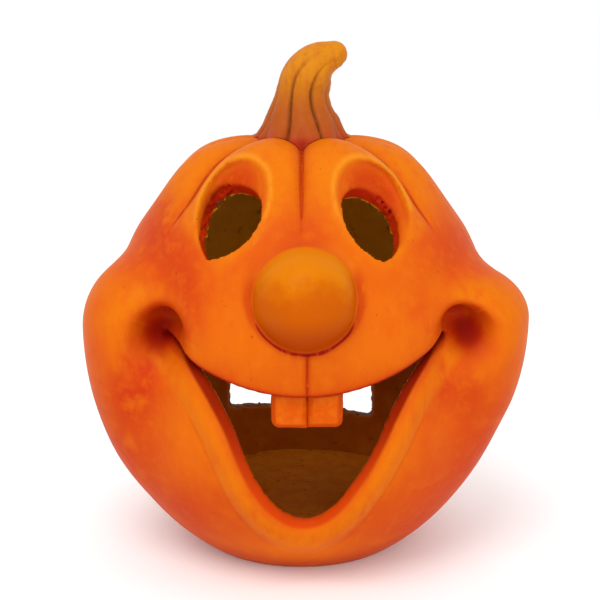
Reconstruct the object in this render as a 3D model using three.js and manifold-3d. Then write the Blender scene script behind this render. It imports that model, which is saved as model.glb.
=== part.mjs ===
// Hollow ceramic pumpkin lantern with a laughing face. Millimetres, +Z up, the face looks along -Y.
// The origin is on the ground, below the middle of the figure's outer box.
// The figure is press-moulded in two halves and luted together with a floor slab, a stem, a nose and two teeth.
import * as THREE from "three";
import { mergeVertices } from "three/addons/utils/BufferGeometryUtils.js";
import Module from "manifold-3d";

const wasm = await Module();
wasm.setup();

// Driving dimensions
const AXIS_Y = 10.6; // the body's axis stands this far behind the origin, because the nose sticks out in front
const WALL = 9;
const GAP = 0.3; // clearance between luted pieces
const PARTING_D = 30; // the mould's parting plane lies this far in front of the axis
const LEAN = -2.2; // the body stands a little to the left of the face's middle
const BODY = { waistZ: 95, halfWidth: 116.2, halfDepth: 112, below: 116.3, above: 153, fullness: 1.28 };
const SHOULDER = { radius: 47, spread: 20, height: 7.4, fromZ: 195, squeeze: 0.7 };
const TUCK = { depth: 4, fullZ: 8, fadeZ: 75 }; // the bowl draws in towards its foot
const STEM_HOLLOW = { radius: 20, depth: 14 };
const CREASE = { lobes: 8, drift: 7.6, depth: 7, fadeZ: 190, fullZ: 240, backDepth: 3 };
const CHEEKS = [
  { x: -89.5, d: 38, z: 141, below: 85, radii: [36.8, 46, 39.8] },
  { x: 86.5, d: 38, z: 146, below: 81, radii: [40.2, 46, 30] },
];
const CHEEK_BLEND = 12;
const MUZZLE = { d: 60, z: 138, radii: [74, 53, 36], blend: 10 };
const DIMPLES = [
  { x: -78.5, d: 86, z: 139, radii: [13.5, 35, 13.5], yaw: 14, pitch: -24 },
  { x: 87.5, d: 84, z: 140, radii: [15, 35, 13.5], yaw: -16, pitch: -24 },
];
// Each eye hole is a smooth curve in x and z through its points, with one corner, at the first point
const EYES = [
  {
    outline: [
      [-52.5, 186.5], [-57.6, 201], [-54.8, 212.5], [-40.6, 223], [-26.6, 218.9], [-25.4, 205.8], [-35.4, 193.9],
    ],
    socket: { x: -39.2, z: 213, tilt: 59 },
  },
  {
    outline: [
      [46.8, 188.9], [50.8, 196.5], [44.2, 214], [30.9, 221.4], [20.8, 217.6], [22.2, 203.8], [34.6, 189.9],
    ],
    socket: { x: 36.2, z: 212.5, tilt: 124 },
  },
];
const SOCKET = { d: 82, major: 30, deep: 22, minor: 21 };
const MOUTH = { x: -1, upperZ: 118.2, rise: 25, corner: 77, lowerZ: 39.2, curve: 0.0213, power: 2.1 };
// The mouth's corners run out into slits
const CORNERS = { left: 77, right: 82, slit: 0.8, open: 0.0245 };
const TEETH = { halfGap: 0.3, width: 18.3, bottomZ: 100.7, frontD: 107, thickness: 9, corner: 5, middleX: 0.7 };
const NOSE = { x: -0.5, d: 103, z: 168.5, radius: 26.4 };
const BACK_DOOR = { x: -2, width: 98, bottomZ: 48, topZ: 138, corner: 16 };
const FLOOR = { bottomZ: 13, topZ: 26 };
const OUTER_DETAIL = 17; // how often each edge of the balls wrapped round the figure is divided
const INNER_DETAIL = 9;
const STEM = { flutes: 8, fluteDepth: 0.1, sides: 48, rings: 22, neck: 14.6, flare: 19, tipTaper: 6.5 };

// Smooth union of two distances, a fillet about as wide as k
function blendUnion(a, b, k) {
  const h = Math.max(k - Math.abs(a - b), 0) / k;
  return Math.min(a, b) - (h * h * k) / 4;
}

const bell = (value, width) => Math.exp(-((value / width) ** 2));

function smoothstep(from, to, value) {
  const t = Math.min(Math.max((value - from) / (to - from), 0), 1);
  return t * t * (3 - 2 * t);
}

// Approximate distance to an ellipsoid about the origin
function ellipsoid(x, y, z, [a, b, c]) {
  const k0 = Math.hypot(x / a, y / b, z / c);
  const k1 = Math.hypot(x / a ** 2, y / b ** 2, z / c ** 2);
  return k1 > 0 ? (k0 * (k0 - 1)) / k1 : -Math.min(a, b, c);
}

// Depth of the crease between two lobes: deep in the valley and nothing on the lobe's crown.
// The drift widens the two lobes of the face and narrows the ones beside them.
function creaseDepth(x, d, z) {
  const turn = Math.atan2(x, d);
  const drift = THREE.MathUtils.degToRad(CREASE.drift) * Math.sin(2 * turn);
  const lobe = Math.abs(Math.asin(Math.sin((CREASE.lobes / 2) * (turn - drift)))) / (Math.PI / 2);
  const clearOfStem = smoothstep(4, 22, Math.hypot(x, d));
  const high = CREASE.depth * smoothstep(CREASE.fadeZ, CREASE.fullZ, z) * clearOfStem;
  const behind = CREASE.backDepth * smoothstep(20, 70, -d);
  return (1 - lobe) ** 1.8 * Math.max(high, behind);
}

// The pear-shaped body with its shoulder, its foot and the hollow that the stem stands in
function body(bodyX, d, z) {
  const x = bodyX - LEAN;
  const dz = z - BODY.waistZ;
  const rho = Math.hypot(x, d);
  const lift = dz < 0 ? dz : BODY.above * (dz / BODY.above) ** BODY.fullness;
  const hollow = STEM_HOLLOW.depth * bell(rho, STEM_HOLLOW.radius) * smoothstep(150, 220, z);
  const half = [BODY.halfWidth, BODY.halfDepth, dz < 0 ? BODY.below : BODY.above];
  const ring = Math.hypot(SHOULDER.squeeze * x, d);
  const shoulder =
    SHOULDER.height * bell(ring - SHOULDER.radius, SHOULDER.spread) * smoothstep(SHOULDER.fromZ, 240, z);
  const tuck = TUCK.depth * (1 - smoothstep(TUCK.fullZ, TUCK.fadeZ, z));
  return ellipsoid(x, d, lift + hollow, half) - shoulder + tuck + creaseDepth(x, d, z);
}

// Signed distance to the outside of the figure before its openings are cut, negative inside; d runs to the front
function figure(x, y, z) {
  const d = -y;
  let distance = body(x, d, z);
  for (const cheek of CHEEKS) {
    const dz = z - cheek.z;
    const stretched = dz < 0 ? (dz * cheek.radii[2]) / cheek.below : dz;
    distance = blendUnion(distance, ellipsoid(x - cheek.x, d - cheek.d, stretched, cheek.radii), CHEEK_BLEND);
  }
  return blendUnion(distance, ellipsoid(x, d - MUZZLE.d, z - MUZZLE.z, MUZZLE.radii), MUZZLE.blend);
}

function solidOf(geometry) {
  geometry.deleteAttribute("normal");
  geometry.deleteAttribute("uv");
  const merged = mergeVertices(geometry, 1e-4);
  const mesh = new wasm.Mesh({
    numProp: 3,
    vertProperties: merged.attributes.position.array,
    triVerts: new Uint32Array(merged.index.array),
  });
  return new wasm.Manifold(mesh);
}

function geometryOf(solid) {
  const { vertProperties, triVerts } = solid.getMesh();
  const geometry = new THREE.BufferGeometry();
  geometry.setAttribute("position", new THREE.BufferAttribute(new Float32Array(vertProperties), 3));
  geometry.setIndex(new THREE.BufferAttribute(new Uint32Array(triVerts), 1));
  return geometry;
}

// A ball shrunk onto the figure, as far inside its surface as inset says
function wrapped(detail, inset) {
  const middleZ = 110;
  const ball = new THREE.IcosahedronGeometry(1, detail);
  const at = ball.attributes.position;
  for (let i = 0; i < at.count; i++) {
    const ray = new THREE.Vector3().fromBufferAttribute(at, i).normalize();
    const inside = (r) => figure(ray.x * r, ray.y * r, middleZ + ray.z * r) + inset < 0;
    let near = 20;
    while (inside(near + 2)) near += 2;
    let far = near + 2;
    for (let step = 0; step < 18; step++) {
      const half = (near + far) / 2;
      if (inside(half)) near = half;
      else far = half;
    }
    at.setXYZ(i, ray.x * near, ray.y * near, middleZ + ray.z * near);
  }
  return solidOf(ball);
}

function block(x0, x1, y0, y1, z0, z1) {
  const box = new THREE.BoxGeometry(x1 - x0, y1 - y0, z1 - z0);
  return solidOf(box.translate((x0 + x1) / 2, (y0 + y1) / 2, (z0 + z1) / 2));
}

// A shape drawn in x and z, run from fromD to toD in front of the axis
function through(shape, fromD, toD, curveSegments = 12) {
  const geometry = new THREE.ExtrudeGeometry(shape, { depth: toD - fromD, bevelEnabled: false, curveSegments });
  return solidOf(geometry.rotateX(Math.PI / 2).translate(0, -fromD, 0));
}

const upperLipZ = (x) => MOUTH.upperZ + MOUTH.rise * ((x - MOUTH.x) / MOUTH.corner) ** 2;

// The lower lip is a bowl in the middle, and closes on the upper lip towards the corners of the mouth
function lowerLipZ(x) {
  const out = Math.abs(x - MOUTH.x);
  const bowl = MOUTH.lowerZ + MOUTH.curve * out ** MOUTH.power;
  const insideCorner = (x < MOUTH.x ? CORNERS.left : CORNERS.right) - out;
  const gap = CORNERS.slit + CORNERS.open * Math.max(insideCorner, 0) ** 2;
  return THREE.MathUtils.lerp(bowl, upperLipZ(x) - gap, smoothstep(28, 46, out));
}

function mouthCutter() {
  const steps = 22;
  const from = MOUTH.x - MOUTH.corner;
  const to = MOUTH.x + MOUTH.corner;
  const shape = new THREE.Shape();
  shape.moveTo(from, lowerLipZ(from));
  for (let i = 1; i <= steps; i++) {
    const x = from + ((to - from) * i) / steps;
    shape.lineTo(x, lowerLipZ(x));
  }
  for (let i = steps; i >= 0; i--) {
    const x = from + ((to - from) * i) / steps;
    shape.lineTo(x, upperLipZ(x));
  }
  return through(shape, 30, 140);
}

// The hole of an eye, right through the wall
function eyeHole(eye) {
  const [corner, ...others] = eye.outline.map(([x, z]) => new THREE.Vector2(x, z));
  const shape = new THREE.Shape();
  shape.moveTo(corner.x, corner.y);
  shape.splineThru([...others, corner]);
  return through(shape, 30, 140, 4);
}

// The bowl around an eye, sunk into the sloping forehead
function socketCutter({ socket }, grow) {
  const bowl = new THREE.SphereGeometry(1, 28, 18);
  bowl.scale(SOCKET.major + grow, SOCKET.deep + grow, SOCKET.minor + grow);
  bowl.rotateY(THREE.MathUtils.degToRad(-socket.tilt));
  return solidOf(bowl.translate(socket.x, -SOCKET.d, socket.z));
}

// The pit in a cheek where the smile ends: an egg pushed in from the front, pointing up and inwards
function dimpleCutter(dimple, grow) {
  const [across, deep, high] = dimple.radii;
  const egg = new THREE.SphereGeometry(1, 24, 16).scale(across + grow, deep + grow, high + grow);
  egg.rotateX(THREE.MathUtils.degToRad(-dimple.pitch)).rotateZ(THREE.MathUtils.degToRad(-dimple.yaw));
  return solidOf(egg.translate(dimple.x, -dimple.d, dimple.z));
}

function roundedRectangle(x0, x1, z0, z1, lower, upper) {
  const shape = new THREE.Shape();
  shape.moveTo(x0 + lower, z0);
  shape.lineTo(x1 - lower, z0);
  shape.quadraticCurveTo(x1, z0, x1, z0 + lower);
  shape.lineTo(x1, z1 - upper);
  shape.quadraticCurveTo(x1, z1, x1 - upper, z1);
  shape.lineTo(x0 + upper, z1);
  shape.quadraticCurveTo(x0, z1, x0, z1 - upper);
  shape.lineTo(x0, z0 + lower);
  shape.quadraticCurveTo(x0, z0, x0 + lower, z0);
  return shape;
}

// The hollow figure with its eyes, mouth, back door and open foot, still in one piece
function hollowFigure() {
  const door = BACK_DOOR;
  const doorway = roundedRectangle(
    door.x - door.width / 2, door.x + door.width / 2, door.bottomZ, door.topZ, door.corner / 2, door.corner);
  let outside = wrapped(OUTER_DETAIL, 0);
  let hollow = wrapped(INNER_DETAIL, WALL);
  for (const dimple of DIMPLES) {
    outside = outside.subtract(dimpleCutter(dimple, 0));
    hollow = hollow.subtract(dimpleCutter(dimple, WALL));
  }
  for (const eye of EYES) {
    outside = outside.subtract(socketCutter(eye, 0));
    hollow = hollow.subtract(socketCutter(eye, WALL));
  }
  let shell = outside.subtract(hollow);
  for (const eye of EYES) shell = shell.subtract(eyeHole(eye));
  shell = shell.subtract(mouthCutter());
  shell = shell.subtract(through(doorway, -140, -50, 4));
  return shell.subtract(block(-150, 150, -150, 150, -50, 0));
}

function floorSlab() {
  return wrapped(INNER_DETAIL, WALL + GAP).intersect(block(-150, 150, -150, 150, FLOOR.bottomZ, FLOOR.topZ));
}

function nose(clearance) {
  const ball = new THREE.SphereGeometry(NOSE.radius, 32, 20).translate(NOSE.x, -NOSE.d, NOSE.z);
  return solidOf(ball).subtract(clearance);
}

// A tooth hangs from the upper lip's edge, and its top follows that edge
function tooth(side) {
  const inner = TEETH.middleX + side * TEETH.halfGap;
  const outer = inner + side * TEETH.width;
  const [x0, x1] = side < 0 ? [outer, inner] : [inner, outer];
  const round = (x) => (x === outer ? TEETH.corner : 1);
  const shape = new THREE.Shape();
  shape.moveTo(x0 + round(x0), TEETH.bottomZ);
  shape.lineTo(x1 - round(x1), TEETH.bottomZ);
  shape.quadraticCurveTo(x1, TEETH.bottomZ, x1, TEETH.bottomZ + round(x1));
  for (let i = 0; i <= 4; i++) {
    const x = x1 + ((x0 - x1) * i) / 4;
    shape.lineTo(x, upperLipZ(x) - GAP);
  }
  shape.lineTo(x0, TEETH.bottomZ + round(x0));
  shape.quadraticCurveTo(x0, TEETH.bottomZ, x0 + round(x0), TEETH.bottomZ);
  return through(shape, TEETH.frontD - TEETH.thickness, TEETH.frontD, 5);
}

// The stem rises from the hollow between the lobes, flared at its foot, and hooks over to the right
function stem(clearance) {
  const path = new THREE.CatmullRomCurve3([
    new THREE.Vector3(-3, 0, 232),
    new THREE.Vector3(-3, 0, 250),
    new THREE.Vector3(-2.3, 0, 264),
    new THREE.Vector3(1, 0, 277.5),
    new THREE.Vector3(8, 0, 286.5),
    new THREE.Vector3(24.5, 0, 290),
  ]);
  const radius = (t) => STEM.neck + STEM.flare * (1 - t) ** 3.4 - STEM.tipTaper * smoothstep(0.62, 0.95, t);
  const tip = (t) => Math.sqrt(Math.max(1 - smoothstep(0.8, 1, t) ** 2, 0));
  const geometry = new THREE.CylinderGeometry(1, 1, 1, STEM.sides, STEM.rings);
  const at = geometry.attributes.position;
  for (let i = 0; i < at.count; i++) {
    const t = at.getY(i) + 0.5;
    const turn = Math.atan2(at.getZ(i), at.getX(i));
    const centre = path.getPointAt(t);
    const along = path.getTangentAt(t);
    const across = new THREE.Vector3(0, 1, 0);
    const out = new THREE.Vector3().crossVectors(across, along);
    const worn = 1 - smoothstep(0.5, 0.95, t);
    const flute = 1 - STEM.fluteDepth * worn * Math.abs(Math.cos((STEM.flutes / 2) * turn));
    const onAxis = Math.hypot(at.getX(i), at.getZ(i)) < 1e-6;
    const r = onAxis ? 0 : radius(t) * flute * Math.max(tip(t), 0.12);
    const point = centre.addScaledVector(out, r * Math.cos(turn)).addScaledVector(across, -r * Math.sin(turn));
    at.setXYZ(i, point.x, point.y, point.z);
  }
  return solidOf(geometry).subtract(clearance);
}

function glaze(color, roughness) {
  return new THREE.MeshStandardMaterial({ color, roughness, metalness: 0 });
}

const orange = glaze(0xf07814, 0.45);
const deepOrange = glaze(0xe8650e, 0.45);
const ochre = glaze(0xcc6f1c, 0.5);
const bareClay = glaze(0x6b3b08, 0.9);

const figureGroup = new THREE.Group();
figureGroup.position.y = AXIS_Y;

function place(name, solid, material) {
  const mesh = new THREE.Mesh(geometryOf(solid), material);
  mesh.name = name;
  figureGroup.add(mesh);
}

const shell = hollowFigure();
const clearance = wrapped(OUTER_DETAIL, -GAP);
place("face_shell", shell.intersect(block(-150, 150, -150, -PARTING_D - GAP / 2, -10, 300)), orange);
place("back_shell", shell.intersect(block(-150, 150, -PARTING_D + GAP / 2, 150, -10, 300)), orange);
place("floor_slab", floorSlab(), bareClay);
place("stem", stem(clearance), ochre);
place("nose", nose(clearance), deepOrange);
place("tooth_left", tooth(-1), deepOrange);
place("tooth_right", tooth(1), deepOrange);

export default figureGroup;
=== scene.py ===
"""A painted ceramic pumpkin lantern with a laughing face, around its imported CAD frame.

The figure is a field: a formula that is negative inside the clay. Its lengths are millimetres from the body's
axis, with x to the right, d to the front and z up. Each half is meshed from the field and cut on the parting
plane, and the nose is cut out of the front half. Everything in Blender is in metres in the CAD frame.
"""

import math

import bmesh
import bpy
import numpy as np
import openvdb
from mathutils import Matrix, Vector


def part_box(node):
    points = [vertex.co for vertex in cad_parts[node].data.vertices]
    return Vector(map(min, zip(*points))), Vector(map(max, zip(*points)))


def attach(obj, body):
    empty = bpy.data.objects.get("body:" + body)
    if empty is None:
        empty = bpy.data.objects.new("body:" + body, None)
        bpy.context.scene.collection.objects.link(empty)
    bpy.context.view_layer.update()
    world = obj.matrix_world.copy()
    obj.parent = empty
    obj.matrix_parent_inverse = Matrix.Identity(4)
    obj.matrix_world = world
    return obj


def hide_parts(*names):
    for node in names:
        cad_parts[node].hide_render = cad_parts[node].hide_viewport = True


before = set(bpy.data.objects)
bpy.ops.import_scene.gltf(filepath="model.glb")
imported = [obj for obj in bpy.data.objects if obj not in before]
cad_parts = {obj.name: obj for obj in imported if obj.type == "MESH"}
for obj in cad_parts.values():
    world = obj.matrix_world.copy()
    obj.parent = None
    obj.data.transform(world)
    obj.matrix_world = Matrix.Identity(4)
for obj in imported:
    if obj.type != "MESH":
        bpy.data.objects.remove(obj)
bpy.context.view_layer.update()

MM = 0.001
PARTING_D = 30.0
PARTING_GAP = 0.3
AXIS_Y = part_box("face_shell")[1][1] / MM + PARTING_D + PARTING_GAP / 2
FRONT_STEP, BACK_STEP = ((1.42, 1.8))
SHARP_ANGLE = 40
SEED = 7

# The figure's shape, in millimetres about the body's axis

WALL = 9.0
LEAN = -2.2
BODY = dict(waist=95, width=116.2, depth=112, below=116.3, above=153, fullness=1.28)
SHOULDER = dict(radius=47, spread=20, height=7.4, fade=(195, 240), squeeze=0.7)
TUCK = dict(depth=4.0, fade=(8, 75))
STEM_HOLLOW = dict(radius=20, depth=14, fade=(150, 220))
CREASE = dict(lobes=8, drift=7.6, swell=7.0, profile=1.8, fade=(190, 240))
GROOVE = dict(depth=3.2, width=1.7, fade=(184, 224), front=(-45, 0))
BACK_GROOVE = dict(depth=3.0, width=5, behind=(20, 70))
UNDER_STEM = (4, 22)  # how far from the middle lobes and grooves begin
CHEEKS = (
    dict(x=-89.5, d=38, z=141, below=85, radii=(36.8, 46, 39.8)),
    dict(x=86.5, d=38, z=146, below=81, radii=(40.2, 46, 30)),
)
CHEEK_BLEND = 12
MUZZLE = dict(d=60, z=138, radii=(74, 53, 36), blend=10)
DIMPLES = (
    dict(x=-81.0, d=88, z=140.5, radii=(13.6, 32, 11.6), yaw=14, pitch=-24),
    dict(x=89.5, d=86, z=141.0, radii=(14.6, 32, 11.8), yaw=-16, pitch=-24),
)
DIMPLE_BLEND = 15
NOSE = dict(x=-0.5, d=103, z=168.5, radius=26.4, lumps=0.5, cut_margin=1.2)
NOSE_DENT = dict(x=-16, z=177, depth=0.9, radius=5.5, front=(100, 112))
NOSE_FILLET = dict(below=2.4, above=11, over=(160, 195))
MOUTH = dict(x=-1.0, upper=118.2, rise=25.0, corner=77.0, lower=39.2, curve=0.0213, power=2.1)
CORNERS = dict(left=77, right=82, slit=0.8, open=0.0245, over=(28, 46))
MOUTH_DRAFT = dict(left=0.85, right=0.65, upper=0.15)
MIDDLE_BLEND = (-30, 30)  # over which x the left side's numbers give way to the right side's
SMILE = dict(depth=4.0, width=1.3, below=1.0, start=(52, 62), end=(75, 78), front=(40, 60))
SMILE_STEP = dict(depth=1.8, rise=(0, 2.5), fade=12)
ROLL = dict(height=2.2, at=6, width=4.5, front=(50, 75), fade=(95, 135))
ROLL_GROOVE = dict(depth=0.5, at=13, width=2.2)
CHIN_ROLL = dict(wider=0.7, width=25, fade=(60, 80))
PHILTRUM = dict(x=0.6, depth=2.4, width=1.1, front=(70, 90), lip=(112, 118), nose=(150, 165))
SEAM = dict(depth=0.8, width=1.3, gone_on_left=(70, 105), left=(-20, 20), worn=0.8, worn_above=(95, 125))
LEFT_EYE = ((-52.5, 186.5), (-56.8, 194.0), (-57.6, 202.0), (-54.8, 212.5), (-48.6, 219.8), (-40.6, 223.0),
            (-33.1, 222.4), (-26.6, 218.9), (-23.9, 212.6), (-25.4, 205.8), (-29.7, 199.0), (-35.4, 193.9),
            (-43.9, 189.0))
RIGHT_EYE = ((19.6, 213.2), (20.8, 217.6), (25.0, 221.0), (30.9, 221.4), (37.6, 218.8), (44.2, 214.0),
             (49.8, 205.8), (50.8, 195.5), (46.8, 188.9), (40.5, 186.6), (34.6, 189.9), (27.8, 195.5),
             (22.2, 203.8))
SOCKETS = (
    dict(x=-39.2, z=213.0, major=25.5, minor=17.0, tilt=59, lean=1),
    dict(x=36.2, z=212.5, major=26.0, minor=17.5, tilt=124, lean=-1),
)
SOCKET = dict(depth=8.0, slope=0.55, front=(20, 45), clear=(1.02, 1.15))
SOCKET_RIM = dict(height=1.1, at=1.05, width=1.8, fade=(188, 215))
EYE_DRAFT = dict(down=0.85, across=0.5)
CHIPS = dict(coarse=4.0, fine=2.4, mouth=0.35, eye=0.8, door=0.7)
RAGGED = dict(height=1.6, lower=(-2, 6), deep=(1, 4))  # the broken lower edge of an eye hole
EDGE = dict(inside=1.5, lip=2.5, chin=2, eye=1.2, door=1.5)  # how far each cut edge is rounded
OPENINGS = dict(front=30, back=-40)  # the d in front of which the face is cut, and behind which the door is
CUT_DEPTH = (-2, 25)
DOOR = dict(x=-2.5, bottom=49.5, tilt=-0.06, top=138, half_width=49, corner=3)
FLOOR = dict(bottom=13, top=26, swell=0.5, rough=0.2)
FLOOR_LUMP = dict(x=-34, d=-4, radii=(14, 8, 5), rough=0.9, blend=4)
TEETH = dict(middle=0.7, half_gap=0.15, width=18.6, bottom=100.7, front=107, thickness=9, corner=4.5,
             worn=(2.2, 3.0), bevel=0.72, bevelled=5, rough=0.25, swell=0.2)
TOOTH_GAP = 0.15
TOOTH_ROOM = dict(d=(92, 110), z=(96, 124), step=0.5)  # where the teeth are meshed
SLAB_ROOM = dict(low=(-90, -90, 6), high=(90, 90, 32), step=1.5)
STEM = dict(flutes=8, groove=1.4, groove_width=1.0, hollow=0.04, hollow_width=4.0, pinch=2.2, dome=0.8)
STEM_FADES = dict(worn=(0.45, 0.8), pinch=(0.0, 0.5), foot=(0.0, 0.16), wash_and_shade=(0.28, 0.66))  # 0 foot, 1 tip
STEM_WORN = 0.92  # how much of a groove is gone at the tip
STEM_SIDES = 0.12  # how deep the grooves on its left and right are, next to the ones on its front
STEM_UNEVEN = dict(twist=0.06, turn=0.05, coarse=0.14, fine=0.1)
STEM_HEIGHT = dict(bottom=245, length=53)
MESHED = dict(low=(-134, -122, -4), high=(134, 136, 254))
KEPT = dict(x=150, d=160, z=(-20, 270))  # a box well outside the figure
STEM_LINE = (  # x, z and radius, from the crown to the tip
    (-2.0, 246.0, 29.6),
    (-2.0, 252.0, 24.0),
    (-2.1, 258.2, 19.6),
    (-1.8, 264.4, 16.8),
    (-1.1, 270.7, 15.3),
    (1.0, 277.5, 14.9),
    (4.8, 283.6, 13.2),
    (9.5, 287.6, 11.0),
    (15.0, 289.9, 8.6),
    (18.4, 290.3, 7.9),
    (21.6, 290.0, 5.9),
    (23.3, 289.7, 3.2),
)


def smoothstep(low, high, value):
    t = np.clip((value - low) / (high - low), 0, 1)
    return t * t * (3 - 2 * t)


def bell(value, width):
    return np.exp(-((value / width) ** 2))


def union(a, b, blend):
    """Both solids, with a fillet about as wide as blend where they meet."""
    h = np.maximum(blend - np.abs(a - b), 0) / blend
    return np.minimum(a, b) - h * h * (blend / 4)


def cut(a, b, blend):
    """Solid a without b, with its new edge rounded by about blend."""
    return -union(-a, b, blend)


def ellipsoid(x, d, z, radii):
    a, b, c = radii
    k0 = np.sqrt((x / a) ** 2 + (d / b) ** 2 + (z / c) ** 2)
    k1 = np.sqrt((x / a**2) ** 2 + (d / b**2) ** 2 + (z / c**2) ** 2) + 1e-9
    return k0 * (k0 - 1) / k1


def turned(u, v, degrees):
    c, s = math.cos(math.radians(degrees)), math.sin(math.radians(degrees))
    return c * u + s * v, c * v - s * u


def waves(points, length, count, seed):
    """Smooth noise of about -1 to 1 that repeats nowhere near: a sum of plane waves in seeded directions."""
    rng = np.random.default_rng(seed)
    total = 0.0
    for _ in range(count):
        direction = rng.normal(size=len(points))
        direction *= 2 * math.pi / (length * rng.uniform(0.7, 1.5) * np.linalg.norm(direction))
        phase = rng.uniform(0, 2 * math.pi)
        along = sum(float(k) * p for k, p in zip(direction, points))
        total = total + np.sin(along + phase)
    return total * math.sqrt(2 / count) * 0.6


def groove_distance(x, d):
    """Distance in mm to the nearest groove between two lobes, and how far across the lobe that is, 0 to 1."""
    turn = np.degrees(np.arctan2(x, d))
    turn = turn - CREASE["drift"] * np.sin(np.radians(2 * turn))
    step = 360 / CREASE["lobes"]
    off = (turn + step / 2) % step - step / 2
    return np.abs(np.radians(off)) * np.hypot(x, d), np.abs(off) / (step / 2)


def lobes(x, d, z):
    """How far the skin falls back from the tops of the lobes on the crown."""
    across = groove_distance(x, d)[1]
    near_stem = smoothstep(*UNDER_STEM, np.hypot(x, d))
    return CREASE["swell"] * smoothstep(*CREASE["fade"], z) * (1 - across) ** CREASE["profile"] * near_stem


def creases(x, d, z):
    """Depth of the drawn grooves between the lobes."""
    side = groove_distance(x, d)[0]
    near_stem = smoothstep(*UNDER_STEM, np.hypot(x, d))
    drawn = smoothstep(*GROOVE["fade"], z) * smoothstep(*GROOVE["front"], d)
    groove = GROOVE["depth"] * drawn * np.exp(-side / GROOVE["width"]) * near_stem
    behind = BACK_GROOVE["depth"] * smoothstep(*BACK_GROOVE["behind"], -d)
    return groove + behind * np.exp(-side / BACK_GROOVE["width"])


def body(x, d, z):
    x = x - LEAN
    dz = z - BODY["waist"]
    rho = np.hypot(x, d)
    hollow = STEM_HOLLOW["depth"] * bell(rho, STEM_HOLLOW["radius"]) * smoothstep(*STEM_HOLLOW["fade"], z)
    half = np.where(dz < 0, BODY["below"], BODY["above"])
    lift = np.where(dz < 0, dz, BODY["above"] * (np.abs(dz) / BODY["above"]) ** BODY["fullness"])
    shape = ellipsoid(x, d, lift + hollow, (BODY["width"], BODY["depth"], half))
    ring = np.hypot(SHOULDER["squeeze"] * x, d)
    shoulder = SHOULDER["height"] * bell(ring - SHOULDER["radius"], SHOULDER["spread"])
    shoulder = shoulder * smoothstep(*SHOULDER["fade"], z)
    tuck = TUCK["depth"] * (1 - smoothstep(*TUCK["fade"], z))
    return shape - shoulder + tuck + lobes(x, d, z)


def head(x, d, z):
    """The outside of the clay without its fine detail, which the inside of the wall follows too."""
    f = body(x, d, z)
    for cheek in CHEEKS:
        dz = z - cheek["z"]
        dz = np.where(dz < 0, dz * cheek["radii"][2] / cheek["below"], dz)
        f = union(f, ellipsoid(x - cheek["x"], d - cheek["d"], dz, cheek["radii"]), CHEEK_BLEND)
    f = union(f, ellipsoid(x, d - MUZZLE["d"], z - MUZZLE["z"], MUZZLE["radii"]), MUZZLE["blend"])
    for dimple in DIMPLES:
        u, v = turned(x - dimple["x"], d - dimple["d"], dimple["yaw"])
        v, w = turned(v, z - dimple["z"], dimple["pitch"])
        f = cut(f, ellipsoid(u, v, w, dimple["radii"]), DIMPLE_BLEND)
    return f


def either_side(pair, x):
    """The left number on the left of the face and the right one on its right, eased between."""
    side = smoothstep(*MIDDLE_BLEND, x)
    return pair["left"] * (1 - side) + pair["right"] * side


def upper_lip(x):
    return MOUTH["upper"] + MOUTH["rise"] * ((x - MOUTH["x"]) / MOUTH["corner"]) ** 2


def lower_lip(x):
    """The edge of the mouth's bowl, which runs into a narrow slit at each corner."""
    out = np.abs(x - MOUTH["x"])
    bowl = MOUTH["lower"] + MOUTH["curve"] * out ** MOUTH["power"]
    inside_corner = either_side(CORNERS, x) - out
    gap = CORNERS["slit"] + CORNERS["open"] * np.maximum(inside_corner, 0) ** 2
    near_corner = smoothstep(*CORNERS["over"], out)
    return bowl * (1 - near_corner) + (upper_lip(x) - gap) * near_corner


class PlaneMap:
    """Signed distance to a line in the x-z plane, looked up from a fine table."""

    step = 1.0
    xs = np.arange(-140, 141, step)
    zs = np.arange(-10, 261, step)

    def __init__(self, line, negative):
        """The sign is minus where negative, a function of x and z, says so."""
        px, pz = np.meshgrid(self.xs, self.zs, indexing="ij")
        nearest = np.full(px.shape, 1e9)
        for (x0, z0), (x1, z1) in zip(line[:-1], line[1:]):
            ux, uz = x1 - x0, z1 - z0
            t = np.clip(((px - x0) * ux + (pz - z0) * uz) / (ux * ux + uz * uz), 0, 1)
            nearest = np.minimum(nearest, np.hypot(px - x0 - t * ux, pz - z0 - t * uz))
        self.table = np.where(negative(px, pz), -nearest, nearest).astype(np.float32)

    def __call__(self, x, z):
        i = np.clip((x - self.xs[0]) / self.step, 0, len(self.xs) - 1.001)
        j = np.clip((z - self.zs[0]) / self.step, 0, len(self.zs) - 1.001)
        i0, j0 = i.astype(int), j.astype(int)
        u, v = i - i0, j - j0
        t = self.table
        near = t[i0, j0] * (1 - v) + t[i0, j0 + 1] * v
        far = t[i0 + 1, j0] * (1 - v) + t[i0 + 1, j0 + 1] * v
        return near * (1 - u) + far * u


def lip_map(lip):
    across = MOUTH["x"] + np.linspace(-MOUTH["corner"], MOUTH["corner"], 161)
    return PlaneMap(np.stack([across, lip(across)], 1), lambda x, z: z > lip(x))


def smooth_line(stations, count):
    """A Catmull-Rom curve through rows of numbers, evenly spread over them."""
    rows = np.array(stations, float)
    rows = np.vstack([2 * rows[0] - rows[1], rows, 2 * rows[-1] - rows[-2]])
    t = np.linspace(0, len(stations) - 1, count)
    i = np.minimum(t.astype(int), len(stations) - 2)
    u = (t - i)[:, None]
    p0, p1, p2, p3 = rows[i], rows[i + 1], rows[i + 2], rows[i + 3]
    curve = 2 * p1 + (p2 - p0) * u + (2 * p0 - 5 * p1 + 4 * p2 - p3) * u**2
    return (curve + (3 * p1 - p0 - 3 * p2 + p3) * u**3) / 2


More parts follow.
